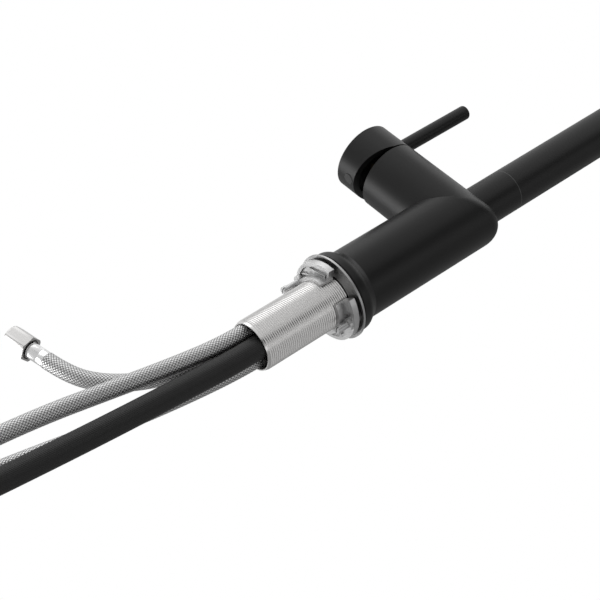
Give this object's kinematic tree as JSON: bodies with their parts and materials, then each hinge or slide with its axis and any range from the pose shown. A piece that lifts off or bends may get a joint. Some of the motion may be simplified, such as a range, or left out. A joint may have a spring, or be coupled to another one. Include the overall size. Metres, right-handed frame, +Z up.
{
  "type": "pull-down kitchen faucet",
  "caption": "Single-lever deck-mounted kitchen faucet: swivelling gooseneck spout, pull-down spray head, clamp nut and flexible hoses.",
  "frame": {"origin": "centre of the deck face under the body, on the body's axis", "axes": "+Z up along the body and the spout's axis, +X towards the lever side, the spout reaches towards -Y at rest"},
  "size_m": [0.1366, 0.2358, 1.1445],
  "materials": {
    "black_finish": "matte powder coat",
    "black_plastic": "moulded, fine grain",
    "slip_nylon": "pale nylon",
    "nickel_thread": "bright nickel plate",
    "brass": "turned",
    "steel": "circular brushed",
    "zinc_cast": "satin die cast",
    "screw_steel": "zinc plated",
    "plated_nut": "nickel plated",
    "plated_ferrule": "crimped steel",
    "steel_braid": "woven wire",
    "nylon_braid": "ribbed nylon braid",
    "rubber": "matte",
    "ceramic": "lapped ceramic",
    "cartridge_body": "moulded",
    "silicone": "soft silicone",
    "hose_inner": "matte"
  },
  "bodies": {
    "faucet_body": {"body_shell": "black_finish", "base_ring": "black_finish", "base_seal": "rubber", "waterway_block": "brass", "threaded_shank": "nickel_thread", "spout_collar": "black_finish", "slip_ring": "slip_nylon", "thrust_washer": "slip_nylon", "cartridge_base": "cartridge_body", "cartridge_seals": "rubber", "fixed_disc": "ceramic", "cartridge_housing": "cartridge_body", "cartridge_nut": "brass", "cartridge_dome": "black_finish", "spray_hose_in_body": "nylon_braid", "supply_hose_runs": "steel_braid", "hose_nipples": "brass", "hot_hose": "steel_braid", "cold_hose": "steel_braid", "outlet_hose": "steel_braid", "spray_hose_tail": "nylon_braid", "hot_ferrule": "plated_ferrule", "cold_ferrule": "plated_ferrule", "outlet_ferrule": "plated_ferrule", "spray_tail_ferrule": "plated_ferrule", "spray_tail_connector": "brass", "hose_gaskets": "rubber"},
    "hot_hose_nut": {"hot_nut": "plated_nut"},
    "cold_hose_nut": {"cold_nut": "plated_nut"},
    "outlet_hose_nut": {"outlet_nut": "plated_nut"},
    "clamp_washers": {"rubber_washer": "rubber", "steel_washer": "steel"},
    "clamp_nut": {"mounting_nut": "zinc_cast"},
    "lever_side_screw": {"jack_screw_lever_side": "screw_steel"},
    "far_side_screw": {"jack_screw_far_side": "screw_steel"},
    "mixing_guide": {"stem_guide": "cartridge_body", "pivot_pin": "screw_steel"},
    "mixing_plate": {"moving_disc": "ceramic", "disc_carrier": "cartridge_body"},
    "lever": {"handle_hub": "black_finish", "lever_rod": "black_finish", "cartridge_stem": "brass", "set_screw": "screw_steel", "set_screw_cap": "black_plastic"},
    "spout": {"spout_tube": "black_finish", "spout_sleeve": "brass", "bearing_rings": "slip_nylon", "retaining_clip": "screw_steel", "dock_socket": "black_plastic", "spray_hose_in_spout": "hose_inner", "spray_hose_at_outlet": "nylon_braid"},
    "hose_end": {"hose_end_fitting": "plated_ferrule"},
    "spray_head": {"head_shell": "black_finish", "head_neck": "black_plastic", "head_core": "black_plastic", "face_plate": "black_plastic", "nozzle_mat": "silicone", "aerator": "slip_nylon"},
    "spray_mode_button": {"spray_button": "black_plastic"}
  },
  "joints": [
    {"name": "spout_swivel", "type": "hinge", "parent": "faucet_body", "child": "spout", "pos_m": [0, 0, 0.1024], "axis": [0, 0, 1], "continuous": true},
    {"name": "spray_pull_down", "type": "slide", "parent": "spout", "child": "hose_end", "axis": [0, 0, -1], "range_m": [0, 0.35], "deforming": ["spray_hose_at_outlet"]},
    {"name": "head_swivel", "type": "hinge", "parent": "hose_end", "child": "spray_head", "pos_m": [0, -0.19, 0.366], "axis": [0, 0, 1], "continuous": true},
    {"name": "mode_button", "type": "slide", "parent": "spray_head", "child": "spray_mode_button", "axis": [0, 1, 0], "range_m": [0, 0.0015], "stiffness_N_per_m": 600, "springref_m": -0.002},
    {"name": "mix_turn", "type": "hinge", "parent": "faucet_body", "child": "mixing_guide", "pos_m": [0.055, 0, 0.1024], "axis": [1, 0, 0], "range_deg": [-45, 45]},
    {"name": "flow_lift", "type": "hinge", "parent": "mixing_guide", "child": "lever", "pos_m": [0.055, 0, 0.1024], "axis": [0, 1, 0], "range_deg": [0, 17]},
    {"name": "plate_slide", "type": "slide", "parent": "mixing_guide", "child": "mixing_plate", "axis": [0, 0, 1], "range_m": [0, 0.0037]},
    {"name": "clamp_nut_travel", "type": "slide", "parent": "faucet_body", "child": "clamp_washers", "axis": [0, 0, -1], "range_m": [0, 0.045]},
    {"name": "clamp_nut_turn", "type": "hinge", "parent": "clamp_washers", "child": "clamp_nut", "pos_m": [0, 0, -0.006], "axis": [0, 0, -1], "range_deg": [0, 10800]},
    {"name": "lever_side_screw_run", "type": "slide", "parent": "clamp_nut", "child": "lever_side_screw", "axis": [0, 0, -1], "range_m": [0, 0.006]},
    {"name": "far_side_screw_run", "type": "slide", "parent": "clamp_nut", "child": "far_side_screw", "axis": [0, 0, -1], "range_m": [0, 0.006]},
    {"name": "hot_nut_turn", "type": "hinge", "parent": "faucet_body", "child": "hot_hose_nut", "pos_m": [0.02912, -0.01372, -0.52198], "axis": [-0.04, -0.01, -0.9992], "continuous": true},
    {"name": "cold_nut_turn", "type": "hinge", "parent": "faucet_body", "child": "cold_hose_nut", "pos_m": [0.028, 0.0125, -0.532], "axis": [0, 0, -1], "continuous": true},
    {"name": "outlet_nut_turn", "type": "hinge", "parent": "faucet_body", "child": "outlet_hose_nut", "pos_m": [0.09769, -0.01214, -0.16654], "axis": [0.9861, -0.0429, -0.1608], "continuous": true}
  ],
  "couplings": [
    {"joint": "clamp_nut_turn", "follows": "clamp_nut_travel", "rad_per_m": 4188.8},
    {"joint": "plate_slide", "follows": "flow_lift", "m_per_rad": 0.0122}
  ]
}
